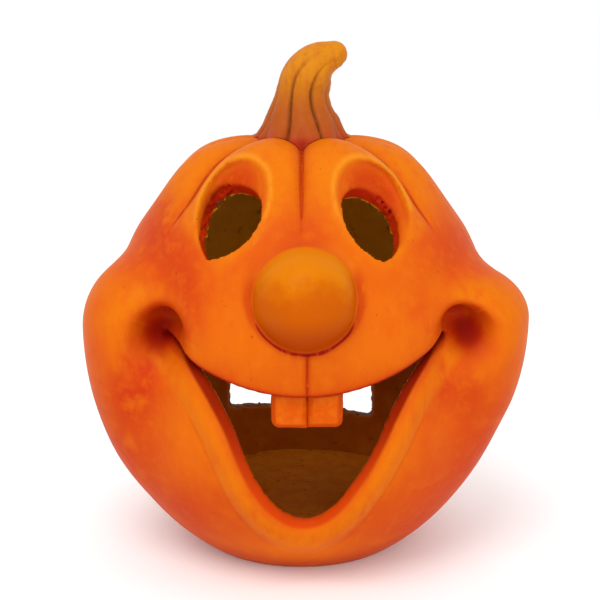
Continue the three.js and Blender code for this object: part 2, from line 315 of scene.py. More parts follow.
def outline_map(corners):
    """Distance to a closed outline drawn smoothly through its corners, negative inside it."""
    line = smooth_line(corners + corners[:1], 12 * len(corners) + 1)

    def inside(x, z):
        odd = np.zeros(x.shape, bool)
        for (x0, z0), (x1, z1) in zip(line[:-1], line[1:]):
            crosses = (z0 > z) != (z1 > z)
            rise = (z1 - z0) if z1 != z0 else 1e-9
            odd ^= crosses & (x < x0 + (z - z0) * (x1 - x0) / rise)
        return odd

    return PlaneMap(line, inside)


below_lip = lip_map(lower_lip)  # positive below the lower lip's line
under_lip = lip_map(upper_lip)  # positive below the upper lip's line
EYE_HOLES = (outline_map(LEFT_EYE), outline_map(RIGHT_EYE))


def ball(x, d, z):
    """The nose, which was pressed on by hand and is a little out of round."""
    lumps = NOSE["lumps"] * waves((x, d, z), 26.0, 8, SEED + 21)
    dent = NOSE_DENT["depth"] * bell(np.hypot(x - NOSE_DENT["x"], z - NOSE_DENT["z"]), NOSE_DENT["radius"])
    dent = dent * smoothstep(*NOSE_DENT["front"], d)
    far = np.sqrt((x - NOSE["x"]) ** 2 + (d - NOSE["d"]) ** 2 + (z - NOSE["z"]) ** 2)
    return lumps + dent + far - NOSE["radius"]


def lip_roll(x, d, z):
    """Height of the roll along the lower lip, less the faint groove outside it."""
    at_chin = bell(x - MOUTH["x"], CHIN_ROLL["width"])
    wide = 1 + CHIN_ROLL["wider"] * at_chin * (1 - smoothstep(*CHIN_ROLL["fade"], z))
    out = below_lip(x, z) / wide
    groove = ROLL_GROOVE["depth"] * bell(out - ROLL_GROOVE["at"], ROLL_GROOVE["width"])
    roll = ROLL["height"] * bell(out - ROLL["at"], ROLL["width"]) - groove
    return roll * smoothstep(*ROLL["front"], d) * (1 - smoothstep(*ROLL["fade"], z))


def smile_line(x, d, z):
    """Depth of the crease that runs on from the corners of the mouth into the dimples."""
    out = np.abs(x - MOUTH["x"])
    reach = smoothstep(*SMILE["start"], out) * (1 - smoothstep(*SMILE["end"], out))
    below = under_lip(x, z)
    crease = SMILE["depth"] * bell(below - SMILE["below"], SMILE["width"])
    step = SMILE_STEP["depth"] * smoothstep(*SMILE_STEP["rise"], below)
    step = step * np.exp(-np.maximum(below, 0) / SMILE_STEP["fade"])
    return (crease + step) * reach * smoothstep(*SMILE["front"], d)


def philtrum(x, d, z):
    """Depth of the groove from the nose down to the upper lip."""
    depth = PHILTRUM["depth"] * np.exp(-np.abs(x - PHILTRUM["x"]) / PHILTRUM["width"])
    depth = depth * smoothstep(*PHILTRUM["front"], d)
    return depth * smoothstep(*PHILTRUM["lip"], z) * (1 - smoothstep(*PHILTRUM["nose"], z))


def seam(x, d, z):
    """Depth of the line left between the two halves, which was rubbed smooth higher up."""
    gone = smoothstep(*SEAM["gone_on_left"], z) * smoothstep(*SEAM["left"], -x)
    left_over = 1 - gone - SEAM["worn"] * smoothstep(*SEAM["worn_above"], z)
    return SEAM["depth"] * bell(d - PARTING_D, SEAM["width"]) * np.maximum(left_over, 0)


def socket_reach(eye, x, z):
    """0 at the middle of an eye socket and 1 at its rim."""
    u, w = turned(x - eye["x"], z - eye["z"], eye["tilt"])
    return np.hypot(u / eye["major"], w / eye["minor"])


def sockets(x, d, z):
    """How far the eye sockets are pressed in."""
    total = 0
    for eye in SOCKETS:
        reach = socket_reach(eye, x, z)
        t = np.clip((1 - reach) / SOCKET["slope"], 0, 1)
        fall = 0.75 * t * (2 - t) + 0.25 * t * t * (3 - 2 * t)
        total = total + SOCKET["depth"] * fall * smoothstep(*SOCKET["front"], d)
    return total


def clear_of_sockets(x, d, z):
    """0 in an eye socket, where no groove is drawn, and 1 well outside them."""
    free = 1
    for eye in SOCKETS:
        free = free * np.where(d > 0, smoothstep(*SOCKET["clear"], socket_reach(eye, x, z)), 1)
    return free


def off_rim(eye, x, z):
    """Distance in mm to the middle of the raised line around a socket."""
    return (socket_reach(eye, x, z) - SOCKET_RIM["at"]) * eye["minor"]


def socket_rims(x, d, z):
    """Height of the raised line around each socket, strongest at its top."""
    total = 0
    for eye in SOCKETS:
        rim = SOCKET_RIM["height"] * bell(off_rim(eye, x, z), SOCKET_RIM["width"])
        total = total + rim * smoothstep(*SOCKET_RIM["fade"], z) * smoothstep(*SOCKET["front"], d)
    return total


def outside(x, d, z):
    """The outside of the clay with every detail, but no opening cut yet."""
    f = head(x, d, z) - lip_roll(x, d, z) + philtrum(x, d, z) + smile_line(x, d, z)
    f = f + creases(x - LEAN, d, z) * clear_of_sockets(x, d, z)
    f = f + sockets(x, d, z) - socket_rims(x, d, z) + seam(x, d, z)
    fillet = NOSE_FILLET["below"] + NOSE_FILLET["above"] * smoothstep(*NOSE_FILLET["over"], z)
    return union(f, ball(x, d, z), fillet)


def eye_holes(x, d, z, deep, chips):
    """The two eye holes, which lean down and inwards as they go through the wall."""
    f = 999.0
    for hole, eye in zip(EYE_HOLES, SOCKETS):
        down, across = EYE_DRAFT["down"] * deep, EYE_DRAFT["across"] * deep * eye["lean"]
        cut_line = hole(x - across, z + down)
        u, w = turned(x - eye["x"], z - eye["z"], eye["tilt"])
        ragged = smoothstep(*RAGGED["lower"], w * eye["lean"]) * smoothstep(*RAGGED["deep"], deep)
        f = np.minimum(f, cut_line + RAGGED["height"] * chips * ragged)
    return f


def doorway(x, z):
    """Distance to the edge of the back door, negative inside it."""
    across = np.abs(x - DOOR["x"]) - DOOR["half_width"] + DOOR["corner"]
    sill = DOOR["bottom"] + DOOR["tilt"] * x
    up = np.maximum(sill - z, z - DOOR["top"]) + DOOR["corner"]
    out = np.hypot(np.maximum(across, 0), np.maximum(up, 0))
    return out + np.minimum(np.maximum(across, up), 0) - DOOR["corner"]


def mouth_hole(x, z, deep, chips):
    """The mouth, which widens a little as it goes through the wall."""
    f = below_lip(x, z) + either_side(MOUTH_DRAFT, x) * deep + CHIPS["mouth"] * chips * smoothstep(3, 8, deep)
    f = np.maximum(f, -under_lip(x, z) - MOUTH_DRAFT["upper"] * deep)
    return np.maximum(f, np.abs(x - MOUTH["x"]) - MOUTH["corner"])


def clay(x, d, z):
    """The hollow figure with its mouth, eyes, back door and foot, in one piece."""
    f = outside(x, d, z)
    inner = head(x, d, z) + sockets(x, d, z) + WALL
    wall = cut(f, inner, EDGE["inside"])
    chips = waves((x, d, z), CHIPS["coarse"], 8, SEED) + 0.5 * waves((x, d, z), CHIPS["fine"], 8, SEED + 1)
    deep = np.clip(-f, *CUT_DEPTH)
    behind = OPENINGS["front"] - d
    mouth = np.maximum(mouth_hole(x, z, deep, chips), behind)
    wall = cut(wall, mouth, EDGE["lip"] + EDGE["chin"] * smoothstep(110, 80, z))
    eyes = np.maximum(eye_holes(x, d, z, deep, CHIPS["eye"] * chips), behind)
    wall = cut(wall, eyes, EDGE["eye"])
    door = np.maximum(doorway(x, z) + CHIPS["door"] * chips, d - OPENINGS["back"])
    wall = cut(wall, door, EDGE["door"])
    return np.maximum(wall, -z)


# Meshes


def meshed(field, low, high, step):
    """Vertices and quads of the field's zero surface, in millimetres."""
    counts = [int(math.ceil((b - a) / step)) + 1 for a, b in zip(low, high)]
    grid = np.empty(counts, np.float32)
    d = low[1] + step * np.arange(counts[1], dtype=np.float32)
    z = low[2] + step * np.arange(counts[2], dtype=np.float32)
    for i in range(counts[0]):
        x = np.float32(low[0] + step * i)
        plane_d, plane_z = np.meshgrid(d, z, indexing="ij")
        grid[i] = field(np.full_like(plane_d, x), plane_d, plane_z)
    volume = openvdb.FloatGrid()
    volume.background = 3 * step
    volume.copyFromArray(np.clip(grid, -3 * step, 3 * step))
    volume.gridClass = openvdb.GridClass.LEVEL_SET
    points, quads = volume.convertToQuads(isovalue=0.0)
    return points * step + np.array(low), quads


def to_scene(points):
    """From x, d, z in millimetres about the axis to metres in the frame."""
    x, d, z = np.asarray(points, float).T
    return np.stack([x, AXIS_Y - d, z], 1) * MM


def from_scene(points):
    x, y, z = np.asarray(points, float).T / MM
    return x, AXIS_Y - y, z


def vertex_rows(thing, what):
    """The positions or normals of a mesh's vertices, a row each."""
    flat = np.empty(len(thing.data.vertices) * 3, np.float32)
    thing.data.vertices.foreach_get(what, flat)
    return flat.reshape(-1, 3)


def add_object(name, data):
    thing = bpy.data.objects.new(name, data)
    bpy.context.collection.objects.link(thing)
    return thing


def new_object(name, points, faces):
    mesh = bpy.data.meshes.new(name)
    mesh.from_pydata([tuple(p) for p in points], [], [tuple(f) for f in faces])
    mesh.validate()
    return add_object(name, mesh)


def face_outwards(thing):
    edit = bmesh.new()
    edit.from_mesh(thing.data)
    bmesh.ops.recalc_face_normals(edit, faces=edit.faces)
    edit.to_mesh(thing.data)
    edit.free()


def meshed_object(name, field, low, high, step):
    points, quads = meshed(field, low, high, step)
    thing = new_object(name, to_scene(points), quads)
    face_outwards(thing)
    return thing


def apply_modifiers(thing):
    graph = bpy.context.evaluated_depsgraph_get()
    mesh = bpy.data.meshes.new_from_object(thing.evaluated_get(graph))
    thing.modifiers.clear()
    old = thing.data
    thing.data = mesh
    bpy.data.meshes.remove(old)


def boolean(thing, cutter, operation):
    step = thing.modifiers.new(operation, "BOOLEAN")
    step.operation = operation
    step.solver = "MANIFOLD"
    step.object = cutter
    apply_modifiers(thing)


def box_cutter(low, high):
    corners = [(x, y, z) for x in (low[0], high[0]) for y in (low[1], high[1]) for z in (low[2], high[2])]
    faces = [(0, 1, 3, 2), (4, 6, 7, 5), (0, 4, 5, 1), (2, 3, 7, 6), (0, 2, 6, 4), (1, 5, 7, 3)]
    thing = new_object("cutter", to_scene(corners), faces)
    face_outwards(thing)
    return thing


def copy_of(thing, name):
    twin = thing.copy()
    twin.data = thing.data.copy()
    twin.name = name
    bpy.context.collection.objects.link(twin)
    return twin


def drop(*things):
    for thing in things:
        bpy.data.objects.remove(thing)


def primitive(name, make, **sizes):
    """An object from one of bmesh's own makers."""
    edit = bmesh.new()
    make(edit, **sizes)
    mesh = bpy.data.meshes.new(name)
    edit.to_mesh(mesh)
    edit.free()
    return add_object(name, mesh)


def nose_cutter():
    radius = (NOSE["radius"] + NOSE["cut_margin"]) * MM
    thing = primitive("cutter", bmesh.ops.create_icosphere, subdivisions=5, radius=radius)
    thing.location = to_scene([(NOSE["x"], NOSE["d"], NOSE["z"])])[0]
    return thing


def half_shell(name, side, step):
    """The front half, side 1, or the back half, side -1, meshed past the parting plane and then cut on it."""
    past = 4 * step

    def half(x, d, z):
        return np.maximum(clay(x, d, z), side * (PARTING_D - d) - past)

    low, high = MESHED["low"], MESHED["high"]
    near, far = PARTING_D - side * 2 * past, high[1] if side > 0 else low[1]
    low = (low[0], min(near, far), low[2])
    high = (high[0], max(near, far), high[2])
    shell = meshed_object(name, half, low, high, step)
    x, d, (bottom, top) = KEPT["x"], KEPT["d"] * side, KEPT["z"]
    kept = box_cutter((-x, min(PARTING_D, d), bottom), (x, max(PARTING_D, d), top))
    boolean(shell, kept, "INTERSECT")
    drop(kept)
    return shell


def make_shells():
    """The two halves of the figure, and the nose cut out of the front one."""
    face = half_shell("face_shell_clay", 1, FRONT_STEP)
    back = half_shell("back_shell_clay", -1, BACK_STEP)
    tip = nose_cutter()
    nose = copy_of(face, "nose_clay")
    boolean(nose, tip, "INTERSECT")
    boolean(face, tip, "DIFFERENCE")
    drop(tip)
    return face, back, nose


def tooth_field(side):
    """One tooth, clear of the clay: a rounded outer corner, worn edges. Side is -1 for left, 1 for right."""
    worn = TEETH["worn"][side > 0]
    inner, corner = TEETH["half_gap"], TEETH["corner"]
    half = (TEETH["width"] - inner) / 2

    def field(x, d, z):
        u = side * (x - TEETH["middle"])
        across = np.abs(u - inner - half) - half
        up = TEETH["bottom"] - z
        outer = u - inner - 2 * half + corner
        low = up + corner
        round_corner = np.hypot(np.maximum(outer, 0), np.maximum(low, 0))
        round_corner = round_corner + np.minimum(np.maximum(outer, low), 0)
        depth = np.abs(d - TEETH["front"] + TEETH["thickness"] / 2) - TEETH["thickness"] / 2
        outline = np.maximum(np.maximum(across, up), round_corner - corner)
        bevel = (outline + worn + depth) * TEETH["bevel"]
        bevel = np.where(d > TEETH["front"] - TEETH["bevelled"], bevel, -TEETH["thickness"])
        slab = np.maximum(outline, depth) + TEETH["rough"] * waves((x, d, z), 9.0, 6, SEED + side)
        return np.maximum(np.maximum(slab - TEETH["swell"], bevel), TOOTH_GAP - clay(x, d, z))

    return field


def slab_field(x, d, z):
    """The candle floor, with a rough lump that was left when it was pressed in."""
    middle = (FLOOR["bottom"] + FLOOR["top"]) / 2
    thick = np.abs(z - middle) - (FLOOR["top"] - FLOOR["bottom"]) / 2
    thick = thick + FLOOR["swell"] * waves((x, d), 34.0, 8, SEED + 11)
    thick = thick + FLOOR["rough"] * waves((x, d), 9.0, 8, SEED + 12)
    lump = ellipsoid(x - FLOOR_LUMP["x"], d - FLOOR_LUMP["d"], z - FLOOR["top"], FLOOR_LUMP["radii"])
    lump = lump + FLOOR_LUMP["rough"] * waves((x, d, z), 8.0, 8, SEED + 13)
    thick = union(thick, lump, FLOOR_LUMP["blend"])
    edge = head(x, d, z) + WALL + PARTING_GAP
    return np.maximum(thick, edge)


def crown_height(x, d, start=255.0, rounds=30, longest=6, share=0.8):
    """The height of the crown, found by stepping down or up to the surface from the start."""
    z = np.full_like(x, start)
    for _ in range(rounds):
        z = z - np.clip(outside(x, d, z), -longest, longest) * share
    return z


def stem_side(sides, rings):
    """Rings of points up the stem, its middle line, which way that runs, and where its grooves are dark with
    wash and painted shade.
    """
    line = smooth_line(STEM_LINE, rings)
    middle, radius = line[:, :2], line[:, 2:]
    tangent = np.gradient(middle, axis=0)
    tangent /= np.linalg.norm(tangent, axis=1)[:, None]
    angle = np.linspace(0, 2 * math.pi, sides, endpoint=False)[None, :]
    sine, cosine = np.sin(angle), np.cos(angle)
    along = np.linspace(0, 1, rings)[:, None]

    step = 2 * math.pi / STEM["flutes"]
    twist = STEM_UNEVEN["twist"] * waves((3 * along, cosine), 1.5, 5, SEED)
    turn = angle + math.pi / STEM["flutes"] + STEM_UNEVEN["turn"] * np.sin(4 * along) + twist
    across = np.abs((turn % step) - step / 2) / (step / 2)
    off = (1 - across) * step / 2 * radius
    worn = 1 - STEM_WORN * smoothstep(*STEM_FADES["worn"], along)
    facing = STEM_SIDES + (1 - STEM_SIDES) * cosine**2
    drawn = bell(off, STEM["groove_width"])
    hollow = STEM["hollow"] * radius * bell(off, STEM["hollow_width"])
    groove = facing * worn * (STEM["groove"] * drawn + hollow)
    ring = radius - groove - STEM["pinch"] * (1 - smoothstep(*STEM_FADES["pinch"], along)) * across**2

    tx, tz = tangent[:, :1], tangent[:, 1:]
    x = middle[:, :1] + ring * sine * tz
    d = ring * cosine
    z = middle[:, 1:] - ring * sine * tx
    wobble = STEM_UNEVEN["coarse"] * waves((x, d, z), 13.0, 10, SEED + 3)
    wobble = wobble + STEM_UNEVEN["fine"] * waves((x, d, z), 3.5, 10, SEED + 4)
    x = x + wobble * sine * tz
    d = d + wobble * cosine
    lift = crown_height(x[0], d[0]) + PARTING_GAP - z[0]
    z = z + lift[None, :] * (1 - smoothstep(*STEM_FADES["foot"], along))
    dark = facing * drawn * (1 - smoothstep(*STEM_FADES["wash_and_shade"], along))
    return np.stack([x, d, z], 2), middle, tangent, dark


def between_rings(first, second, sides):
    """The faces between two rings of points, which start at these numbers."""
    following = [(j + 1) % sides for j in range(sides)]
    return [(first + j, first + k, second + k, second + j) for j, k in enumerate(following)]


def make_stem():
    sides, rings = ((224, 130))
    side, middle, tangent, dark = stem_side(sides, rings)
    points = [side.reshape(-1, 3)]
    faces = []
    for row in range(rings - 1):
        faces += between_rings(row * sides, (row + 1) * sides, sides)

    def on_crown(loop, shrink):
        loop[:, 2] = crown_height(loop[:, 0], loop[:, 1]) + PARTING_GAP
        return loop

    def domed(loop, shrink):
        along = np.array([tangent[-1, 0], 0, tangent[-1, 1]])
        return loop + STEM["dome"] * math.sqrt(1 - shrink**2) * along

    count = rings * sides
    for row, shrinks, settle in ((0, (0.75, 0.5, 0.25), on_crown), (rings - 1, (0.7, 0.35), domed)):
        centre = np.array([middle[row, 0], 0.0, middle[row, 1]])
        last = row * sides
        for shrink in shrinks:
            points.append(settle(centre + (side[row] - centre) * shrink, shrink))
            faces += between_rings(last, count, sides)
            last = count
            count += sides
        points.append(settle(centre[None, :], 0))
        faces += [(last + j, last + (j + 1) % sides, count) for j in range(sides)]
        count += 1

    thing = new_object("stem_clay", to_scene(np.vstack(points)), faces)
    face_outwards(thing)
    painted = np.zeros(len(thing.data.vertices))
    painted[: dark.size] = dark.ravel()
    point_mask(thing, "groove", painted)
    up = from_scene(vertex_rows(thing, "co"))[2]
    point_mask(thing, "height", (up - STEM_HEIGHT["bottom"]) / STEM_HEIGHT["length"])
    return thing


# Paint masks


def curvature(field, x, d, z, reach):
    """How the surface bends over this reach: above 0 on a ridge, below 0 in a hollow."""
    total = 0
    for sx, sd, sz in ((1, 0, 0), (-1, 0, 0), (0, 1, 0), (0, -1, 0), (0, 0, 1), (0, 0, -1)):
        total = total + field(x + sx * reach, d + sd * reach, z + sz * reach)
    return (total / 6 - field(x, d, z)) / reach


def spot(x, d, z, place, radii):
    """A soft patch of paint around a place, 1 at its middle."""
    return np.exp(-sum(((p - middle) / radius) ** 2 for p, middle, radius in zip((x, d, z), place, radii)))


CHIN_PAINT = ((-4, 100, 22), (34, 60, 13))  # where these coats lie: place and reach
MUZZLE_PAINT = ((0, 100, 126), (62, 60, 20))
# the dark red at the stem's foot is red wash and painted shade where the stem meets the crown
STEM_FOOT_WASH_AND_SHADE = ((-3, 0, 243), (30, 30, 9))
RUDDY = (  # where the orange turns red in soft patches: place and reach
    ((-78, 55, 186), (22, 60, 20)),
    ((-108, 20, 100), (20, 60, 34)),
    ((-62, 75, 170), (12, 40, 16)),
    ((80, 55, 188), (22, 60, 20)),
    ((104, 30, 92), (22, 60, 30)),
    ((66, 80, 32), (30, 60, 20)),
    ((-70, 75, 40), (26, 60, 20)),
    ((0, 85, 200), (16, 40, 12)),
    ((-86, 70, 116), (13, 50, 26)),
    ((88, 68, 114), (12, 50, 22)),
    ((-82, 45, 206), (14, 60, 16)),
    ((-98, 60, 112), (10, 50, 22)),
    ((-96, 40, 70), (26, 60, 22)),
    ((92, 45, 62), (24, 60, 20)),
    ((-90, 66, 128), (8, 50, 16)),
    ((-60, 80, 148), (9, 50, 12)),
    ((72, 78, 118), (9, 50, 16)),
)


def point_mask(thing, name, values):
    layer = thing.data.attributes.new(name, "FLOAT", "POINT")
    layer.data.foreach_set("value", np.ascontiguousarray(values, np.float32))


def drawn_groove(x, d, z):
    """1 in the grooves between the lobes where they are drawn on the front of the crown."""
    groove = np.exp(-groove_distance(x - LEAN, d)[0] / 2.2)
    return groove * smoothstep(196, 226, z) * smoothstep(-10, 10, d) * clear_of_sockets(x, d, z)


def bright_rims(x, d, z):
    """1 on the raised line at the top of each eye socket."""
    lines = sum(bell(off_rim(eye, x, z), 1.1) for eye in SOCKETS)
    return lines * smoothstep(*SOCKET["front"], d) * smoothstep(196, 216, z)


def paint_masks(thing):
    """Where the painter's wash, dry brush and bare clay go, and where light and shade are painted, kept on
    the mesh as point attributes.
    """
    x, d, z = from_scene(vertex_rows(thing, "co"))
    nose = ball(x, d, z)
    # Painted shade in the crease under the nose.
    shade_under_nose = bell(nose - 0.8, 2.3) * smoothstep(NOSE["z"] - 2, NOSE["z"] - 20, z)
    lip_edge = np.exp(-np.abs(under_lip(x, z) + 1.0) / 2.4)
    masks = dict(
        high=z,
        front=d,
        up=vertex_rows(thing, "normal")[:, 2],
        depth=-outside(x, d, z),
        lining=-head(x, d, z) - sockets(x, d, z),
        fine=curvature(outside, x, d, z, 3.0),
        broad=curvature(outside, x, d, z, 10.0),
        groove=drawn_groove(x, d, z),
        rim=bright_rims(x, d, z),
        socket=sockets(x, d, z) / SOCKET["depth"],
        lip=np.where(d > OPENINGS["front"], below_lip(x, z), 99.0),
        lip_edge=lip_edge * smoothstep(*SMILE["front"], d) * smoothstep(76, 60, np.abs(x)),
        smile=smile_line(x, d, z) / SMILE["depth"],
        philtrum=philtrum(x, d, z) / PHILTRUM["depth"],
        seam=smoothstep(0.1, 1.1, nose),
        shade_under_nose=shade_under_nose * smoothstep(60, 80, d),
        parting=bell(d - PARTING_D, 1.2) * smoothstep(110, 80, z) * smoothstep(20, 60, x),
        dimple=sum(spot(x, d, z, (0.985 * p["x"], p["d"] - 6, p["z"] + 2), (11, 60, 11)) for p in DIMPLES),
        ruddy=sum(spot(x, d, z, place, radii) for place, radii in RUDDY),
        chin=spot(x, d, z, *CHIN_PAINT),
        muzzle=spot(x, d, z, *MUZZLE_PAINT),
        # red wash and painted shade where the stem meets the crown
        foot=spot(x, d, z, *STEM_FOOT_WASH_AND_SHADE),
    )
    for name, values in masks.items():
        point_mask(thing, name, values)


def tooth_masks(tooth):
    """Where shade is painted on a tooth: at its worn edges and along the split, and where its root goes into
    the lip.
    """
    x, d, z = from_scene(vertex_rows(tooth, "co"))
    point_mask(tooth, "root", np.exp(-np.maximum(clay(x, d, z), 0) / 1.6))
    edge = np.minimum(z - TEETH["bottom"], TEETH["half_gap"] + TEETH["width"] - np.abs(x - TEETH["middle"]))
    split = np.abs(x - TEETH["middle"]) - TEETH["half_gap"]
    point_mask(tooth, "worn", np.maximum(1 - smoothstep(1.5, 3.2, edge), bell(split, 0.8)))


# Materials

STUDIO_LIGHT = 1.36  # how bright the studio light makes a white card


COLOURS = dict(  # red, green and blue, 0 to 255, as they look where the studio light falls on them
    orange=(238, 112, 12),
    deep_orange=(230, 92, 18),
    muzzle=(226, 100, 8),
    red_stroke=(224, 80, 20),
    yellow_stroke=(246, 134, 16),
    # painted shade where the surface faces down
    ruddy=(214, 60, 18),
    shaded_underside=(216, 66, 8),
    warm=(242, 124, 16),
    # painted light: paler towards the top of the crown
    crown=(244, 138, 10),
    # dry-brushed ochre, also painted highlight on ridges and on the lip roll
    ochre=(238, 124, 9),
    chin=(254, 132, 6),
    socket_rim=(250, 158, 40),
    # dark red wash, also painted shade in hollows, creases and sockets
    wash_and_shade=(200, 38, 6),
    # thicker wash, also deeper painted shade
    thick_wash_and_shade=(150, 14, 8),
    dimple=(182, 28, 4),
    deep_dimple=(136, 14, 8),
    cut_at_chin=(224, 66, 6),
    cut_at_lip=(160, 20, 4),
    cut_at_eyes=(192, 36, 6),
    cut_at_door=(90, 44, 8),
    speck=(110, 30, 8),
    lining_low=(192, 88, 3),
    lining_low_pale=(206, 104, 5),
    lining_high=(222, 152, 12),
    lining_high_pale=(232, 164, 16),
    lining_pit=(120, 48, 4),
    # painted shade and light on the nose: darker below, lighter on top
    nose_in_shade=(208, 94, 1),
    nose_side=(210, 94, 1),
    nose_top_lit=(230, 128, 3),
    nose_seam=(236, 104, 12),
    nose_shadow=(170, 34, 4),
    stem_low=(184, 88, 20),
    stem_high=(224, 138, 14),
    stem_grain=(196, 96, 30),
    stem_ruddy=(190, 60, 24),
    # red wash and painted shade at the stem's foot
    stem_foot_wash_and_shade=(178, 30, 10),
    # brown wash and painted shade in the stem's grooves
    stem_groove_wash_and_shade=(98, 56, 28),
    tooth=(230, 92, 8),
    tooth_pale=(238, 110, 16),
    # painted shade on the teeth's worn edges and in the split between them
    tooth_edge_shade=(204, 56, 6),
    # painted shade where a tooth goes into the lip
    tooth_root_shade=(150, 20, 5),
    clay=(214, 112, 2),
    clay_pale=(224, 126, 4),
    clay_pit=(110, 44, 4),
)


def linear(value):
    """From a colour value of 0 to 255 to linear light."""
    value /= 255
    return value / 12.92 if value <= 0.04045 else ((value + 0.055) / 1.055) ** 2.4


def paint_colour(name):
    return tuple(linear(value) / STUDIO_LIGHT for value in COLOURS[name]) + (1.0,)


class Paint:
    """A Principled material that is built up one node at a time."""

    def __init__(self, name, roughness=0.5, specular=0.3):
        self.material = bpy.data.materials.new(name)
        self.material.use_nodes = True
        self.tree = self.material.node_tree
        self.shader = self.tree.nodes["Principled BSDF"]
        self.shader.inputs["Roughness"].default_value = roughness
        self.shader.inputs["Specular IOR Level"].default_value = specular
        self.place = self.tree.nodes.new("ShaderNodeTexCoord").outputs["Object"]

    def put(self, socket, value):
        """Feed a socket with another node's output, a named colour or a plain value."""
        if isinstance(value, bpy.types.NodeSocket):
            self.tree.links.new(value, socket)
        elif isinstance(value, str):
            socket.default_value = paint_colour(value)
        else:
            socket.default_value = value

    def node(self, kind, **inputs):
        """A new node with these inputs, named with _ for a space."""
        made = self.tree.nodes.new("ShaderNode" + kind)
        for name, value in inputs.items():
            self.put(made.inputs[name.replace("_", " ")], value)
        return made

    def mask(self, name):
        made = self.node("Attribute")
        made.attribute_name = name
        return made.outputs["Fac"]

    def noise(self, size, detail=3.0, rough=0.55, stretch=(1, 1, 1), shift=0.0):
        """Noise whose blobs are about size millimetres across."""
        place = self.node("Mapping", Vector=self.place, Scale=stretch).outputs["Vector"]
        made = self.node("TexNoise", Vector=place, Scale=1 / (size * MM), Detail=detail, Roughness=rough)
        made.noise_dimensions = "4D"
        made.inputs["W"].default_value = shift
        return made.outputs["Fac"]

    def ramp(self, value, low, high):
        """0 below low and 1 above high, eased between; low may be the larger."""
        made = self.node("MapRange", Value=value, From_Min=low, From_Max=high)
        made.interpolation_type = "SMOOTHSTEP"
        return made.outputs["Result"]

    def math(self, operation, a, b):
        made = self.node("Math")
        made.operation = operation
        self.put(made.inputs[0], a)
        self.put(made.inputs[1], b)
        return made.outputs[0]

    def times(self, *values):
        total = values[0]
        for value in values[1:]:
            total = self.math("MULTIPLY", total, value)
        return total

    def mix(self, factor, a, b):
        made = self.node("Mix", Factor=factor)
        made.data_type = "RGBA"
        self.put(made.inputs[6], a)
        self.put(made.inputs[7], b)
        return made.outputs[2]

    def over(self, under, coat, *thickness):
        """The colour with a coat over it, whose thickness is the product of these."""
        return self.mix(self.times(*thickness), under, coat)

    def either(self, *values):
        """The largest of these."""
        total = values[0]
        for value in values[1:]:
            total = self.math("MAXIMUM", total, value)
        return total

    def bump(self, height, distance, below=None):
        made = self.node("Bump", Height=height, Distance=distance * MM)
        if below is not None:
            self.put(made.inputs["Normal"], below)
        return made.outputs["Normal"]

    def done(self, colour, roughness=None, normal=None):
        self.put(self.shader.inputs["Base Color"], colour)
        if roughness is not None:
            self.put(self.shader.inputs["Roughness"], roughness)
        if normal is not None:
            self.put(self.shader.inputs["Normal"], normal)
        return self.material


def lining_paint(paint, mottle):
    """The thin brown wash on the inside of the clay, greener near the crown."""
    low = paint.mix(paint.ramp(mottle, 0.3, 0.7), "lining_low", "lining_low_pale")
    high = paint.mix(paint.ramp(mottle, 0.3, 0.7), "lining_high", "lining_high_pale")
    colour = paint.mix(paint.ramp(paint.mask("high"), 90, 150), low, high)
    pits = paint.ramp(paint.noise(6, 2, 0.6, shift=12.0), 0.62, 0.72)
    return paint.over(colour, "lining_pit", pits, 0.5)


def cut_edge_paint(paint):
    """The colour of the cut edges: red at the chin, darker at the lip and eyes, brown at the back door."""
    colour = paint.mix(paint.ramp(paint.mask("high"), 50, 115), "cut_at_chin", "cut_at_lip")
    colour = paint.mix(paint.ramp(paint.mask("high"), 150, 180), colour, "cut_at_eyes")
    return paint.mix(paint.ramp(paint.mask("front"), 40, 20), colour, "cut_at_door")


def wash_and_painted_shade(paint, streaks):
    """Where the dark wash lies and shade is painted with it: in hollows and lines and around the nose, the
    eyes and the stem.
    """
    hollow = paint.times(paint.ramp(paint.mask("broad"), -0.03, -0.15), 0.55)
    crevice = paint.times(paint.ramp(paint.mask("fine"), -0.04, -0.15), 0.7)
    socket = paint.times(paint.ramp(paint.mask("socket"), 0.35, 1.0), 0.6)
    # Painted shade under the nose.
    shade_under_nose = paint.ramp(paint.mask("shade_under_nose"), 0.05, 0.7)
    brushed = paint.times(paint.either(hollow, crevice, socket, shade_under_nose), paint.ramp(streaks, 0.1, 0.5))
    lines = paint.either(paint.mask("smile"), paint.mask("philtrum"), paint.mask("groove"))
    return paint.either(
        brushed,
        paint.times(paint.mask("parting"), 0.45),
        paint.times(lines, 0.85),
        paint.times(paint.mask("lip_edge"), 0.9),
        paint.times(paint.mask("foot"), 0.6),
    )


def dry_brush_and_highlights(paint):
    """Where a dry brush left ochre and a highlight is painted: on ridges that don't face down, and on the
    roll of the lower lip.
    """
    broad, fine = paint.ramp(paint.mask("broad"), 0.03, 0.16), paint.ramp(paint.mask("fine"), 0.03, 0.12)
    ridge = paint.math("ADD", broad, paint.times(fine, 0.5))
    ridge = paint.times(ridge, paint.ramp(paint.mask("up"), -0.5, 0.4))
    lip = paint.mask("lip")
    band = paint.times(paint.ramp(lip, 0.5, 4.0), paint.ramp(lip, 16.0, 10.0), 0.9)
    return paint.math("MINIMUM", paint.either(ridge, band), 1.0)


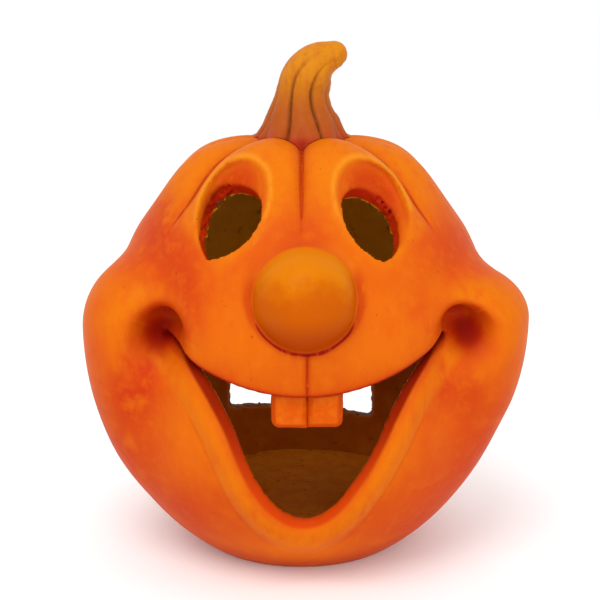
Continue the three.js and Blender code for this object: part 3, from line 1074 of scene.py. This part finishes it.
def pumpkin_paint():
    paint = Paint("painted_ceramic", roughness=0.42, specular=0.03)
    streaks = paint.noise(5, 3, 0.6, stretch=(1, 1, 0.28))
    patches = paint.noise(38, 3, 0.5, shift=2.0)
    mottle = paint.noise(14, 4, 0.6, shift=5.0)
    high, socket, dimple = paint.mask("high"), paint.mask("socket"), paint.mask("dimple")

    colour = paint.mix(paint.ramp(patches, 0.36, 0.66), "orange", "deep_orange")
    colour = paint.over(colour, "muzzle", paint.mask("muzzle"), 0.6)
    colour = paint.over(colour, "red_stroke", paint.ramp(streaks, 0.52, 0.75), 0.3)
    colour = paint.over(colour, "yellow_stroke", paint.ramp(streaks, 0.45, 0.25), 0.3)
    colour = paint.over(colour, "ruddy", paint.mask("ruddy"), paint.ramp(mottle, 0.25, 0.6), 0.85)
    # Painted shade: the orange turns redder and darker where the surface faces down.
    colour = paint.over(colour, "shaded_underside", paint.ramp(paint.mask("up"), 0.0, -0.8), 0.75)
    colour = paint.over(colour, "warm", paint.ramp(mottle, 0.45, 0.7), 0.35)
    # Painted light: paler in brush streaks towards the top of the crown, outside the eye sockets.
    crown = paint.times(paint.ramp(high, 190, 232), paint.ramp(streaks, 0.2, 0.6))
    colour = paint.over(colour, "crown", crown, paint.ramp(socket, 0.35, 0.0), 0.55)
    # Dry-brushed ochre with painted highlight on ridges that face up and on the lip roll.
    colour = paint.over(colour, "ochre", dry_brush_and_highlights(paint), paint.ramp(streaks, 0.25, 0.6), 0.8)
    colour = paint.over(colour, "chin", paint.mask("chin"), 0.75)
    colour = paint.over(colour, "socket_rim", paint.mask("rim"), paint.ramp(streaks, 0.2, 0.5), 0.6)

    # Dark red wash and painted shade in hollows, creases, sockets, under the nose and the upper lip's edge.
    wash_and_shade = wash_and_painted_shade(paint, streaks)
    colour = paint.over(colour, "wash_and_shade", wash_and_shade, 0.9)
    colour = paint.over(colour, "thick_wash_and_shade", paint.ramp(wash_and_shade, 0.5, 1.0), 0.85)
    brushed = paint.ramp(streaks, -0.2, 0.4)
    colour = paint.over(colour, "dimple", paint.ramp(dimple, 0.06, 0.75), brushed, 0.85)
    colour = paint.over(colour, "deep_dimple", paint.ramp(dimple, 0.45, 0.95), 0.8)

    colour = paint.over(colour, cut_edge_paint(paint), paint.ramp(paint.mask("depth"), 0.8, 2.5), 0.9)
    colour = paint.mix(paint.ramp(paint.mask("lining"), 7.0, 8.4), colour, lining_paint(paint, mottle))
    specks = paint.ramp(paint.noise(2.2, 1, 0.5, shift=9.0), 0.74, 0.78)
    colour = paint.over(colour, "speck", specks, 0.45)

    normal = paint.bump(paint.noise(1.6, 3, 0.6, stretch=(1, 1, 0.5), shift=3.0), 0.10)
    normal = paint.bump(paint.noise(6, 2, 0.5, shift=4.0), 0.3, normal)
    roughness = paint.math("ADD", 0.34, paint.times(mottle, 0.2))
    return paint.done(colour, roughness, normal)


def nose_paint():
    paint = Paint("nose_ceramic", roughness=0.38, specular=0.03)
    up = paint.mask("up")
    mottle = paint.noise(11, 4, 0.6, shift=5.0)
    # Painted light and shade: lighter where the nose faces up, darker where it faces down, broken by mottle.
    lit = paint.math("ADD", up, paint.times(paint.math("SUBTRACT", mottle, 0.5), 0.9))
    colour = paint.mix(paint.ramp(lit, -0.55, 0.1), "nose_in_shade", "nose_side")
    colour = paint.mix(paint.ramp(lit, 0.0, 0.75), colour, "nose_top_lit")
    colour = paint.over(colour, "nose_seam", paint.mask("seam"), 0.8)
    colour = paint.over(colour, "nose_shadow", paint.mask("shade_under_nose"), 0.6)
    colour = paint.mix(paint.ramp(paint.mask("lining"), 7.0, 8.4), colour, lining_paint(paint, mottle))
    normal = paint.bump(paint.noise(1.8, 3, 0.6, shift=3.0), 0.10)
    normal = paint.bump(paint.noise(9, 2, 0.5, shift=4.0), 0.5, normal)
    return paint.done(colour, None, normal)


def stem_paint():
    paint = Paint("stem_ceramic", roughness=0.45, specular=0.08)
    high = paint.mask("height")
    grain = paint.noise(4, 4, 0.6, stretch=(1, 1, 0.3))
    colour = paint.mix(paint.ramp(high, 0.2, 0.75), "stem_low", "stem_high")
    colour = paint.over(colour, "stem_grain", paint.ramp(grain, 0.42, 0.7), 0.5)
    colour = paint.over(colour, "stem_ruddy", paint.ramp(high, 0.2, 0.02), paint.ramp(grain, 0.3, 0.6), 0.5)
    # Red wash and painted shade at the foot, where the stem meets the crown.
    colour = paint.over(colour, "stem_foot_wash_and_shade", paint.ramp(high, 0.03, -0.06), 0.8)
    # Brown wash and painted shade in the grooves, fading towards the tip.
    colour = paint.over(colour, "stem_groove_wash_and_shade", paint.mask("groove"), paint.ramp(grain, 0.05, 0.6), 0.85)
    normal = paint.bump(paint.noise(1.8, 3, 0.6, shift=3.0), 0.2)
    return paint.done(colour, None, normal)


def tooth_paint():
    paint = Paint("tooth_ceramic", roughness=0.42, specular=0.03)
    grain = paint.noise(5, 3, 0.6)
    colour = paint.mix(paint.ramp(grain, 0.35, 0.7), "tooth", "tooth_pale")
    # Painted shade on the worn edges and along the split.
    colour = paint.over(colour, "tooth_edge_shade", paint.mask("worn"), paint.ramp(grain, 0.2, 0.55), 0.6)
    # Painted shade where the tooth goes into the lip.
    colour = paint.over(colour, "tooth_root_shade", paint.ramp(paint.mask("root"), 0.2, 1.0), 0.85)
    normal = paint.bump(paint.noise(2.0, 3, 0.6, shift=3.0), 0.15)
    return paint.done(colour, None, normal)


def clay_paint():
    paint = Paint("washed_clay", roughness=0.8, specular=0.03)
    grain = paint.noise(9, 5, 0.6)
    colour = paint.mix(paint.ramp(grain, 0.35, 0.65), "clay", "clay_pale")
    pits = paint.ramp(paint.noise(3.4, 2, 0.5, shift=6.0), 0.64, 0.70)
    colour = paint.over(colour, "clay_pit", pits, 0.7)
    normal = paint.bump(paint.noise(4.0, 4, 0.6, shift=3.0), 0.5)
    return paint.done(colour, None, normal)


# The pieces

face_shell, back_shell, nose_piece = make_shells()
teeth = []
for side, name, (left, right) in ((-1, "tooth_left_clay", (-20, 2)), (1, "tooth_right_clay", (0, 22))):
    low = (left, TOOTH_ROOM["d"][0], TOOTH_ROOM["z"][0])
    high = (right, TOOTH_ROOM["d"][1], TOOTH_ROOM["z"][1])
    teeth.append(meshed_object(name, tooth_field(side), low, high, TOOTH_ROOM["step"]))
slab = meshed_object("floor_slab_clay", slab_field, SLAB_ROOM["low"], SLAB_ROOM["high"], SLAB_ROOM["step"])
stem = make_stem()

PIECES = (
    (face_shell, "face_shell", "painted_ceramic"),
    (back_shell, "back_shell", "painted_ceramic"),
    (nose_piece, "nose", "nose_ceramic"),
    (teeth[0], "tooth_left", "tooth_ceramic"),
    (teeth[1], "tooth_right", "tooth_ceramic"),
    (slab, "floor_slab", "washed_clay"),
    (stem, "stem", "stem_ceramic"),
)
for piece in (face_shell, back_shell, nose_piece):
    paint_masks(piece)
for tooth in teeth:
    tooth_masks(tooth)

MATERIALS = {
    "painted_ceramic": pumpkin_paint(),
    "nose_ceramic": nose_paint(),
    "tooth_ceramic": tooth_paint(),
    "washed_clay": clay_paint(),
    "stem_ceramic": stem_paint(),
}
for piece, node, slot in PIECES:
    piece.data.materials.clear()
    piece.data.materials.append(MATERIALS[slot])
    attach(piece, "root")
    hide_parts(node)
    for polygon in piece.data.polygons:
        polygon.use_smooth = True
    piece.data.set_sharp_from_angle(angle=math.radians(SHARP_ANGLE))

# Stage

CAMERA = dict(place=(-3, 700, 300), down=12.4, lens=71.5)  # millimetres about the axis, degrees, millimetres
LIT_POINT = (0, 0, 0.13)
FLOOR_SIZE = 4
FLOOR_WHITE = 0.93
FLOOR_GLOW = 0.07
WHITE = (1, 1, 1, 1)


def area_light(name, place, size, watts):
    data = bpy.data.lights.new(name, "AREA")
    data.shape = "DISK"
    data.size = size
    data.energy = watts
    lamp = add_object(name, data)
    lamp.location = place
    lamp.rotation_euler = (Vector(LIT_POINT) - Vector(place)).to_track_quat("-Z", "Y").to_euler()


def make_floor():
    floor = primitive("floor", bmesh.ops.create_grid, x_segments=1, y_segments=1, size=FLOOR_SIZE)
    paint = bpy.data.materials.new("floor")
    paint.use_nodes = True
    shader = paint.node_tree.nodes["Principled BSDF"]
    shader.inputs["Base Color"].default_value = (FLOOR_WHITE, FLOOR_WHITE, FLOOR_WHITE, 1)
    shader.inputs["Roughness"].default_value = 0.9
    shader.inputs["Emission Color"].default_value = WHITE
    shader.inputs["Emission Strength"].default_value = FLOOR_GLOW
    floor.data.materials.append(paint)


def make_lights():
    world = bpy.data.worlds.new("studio")
    world.use_nodes = True
    sky = world.node_tree.nodes["Background"].inputs
    sky["Color"].default_value = WHITE
    sky["Strength"].default_value = 1.0
    bpy.context.scene.world = world
    area_light("key", (-0.35, -1.0, 1.6), size=1.0, watts=12)
    area_light("fill", (0.7, -1.5, 0.6), size=1.2, watts=4)
    bpy.context.scene.view_settings.view_transform = "Standard"


def make_camera():
    data = bpy.data.cameras.new("camera")
    data.lens = CAMERA["lens"]
    camera = add_object("camera", data)
    camera.location = to_scene([CAMERA["place"]])[0]
    camera.rotation_euler = (math.radians(90 - CAMERA["down"]), 0, 0)
    bpy.context.scene.camera = camera


make_floor()
make_lights()
make_camera()
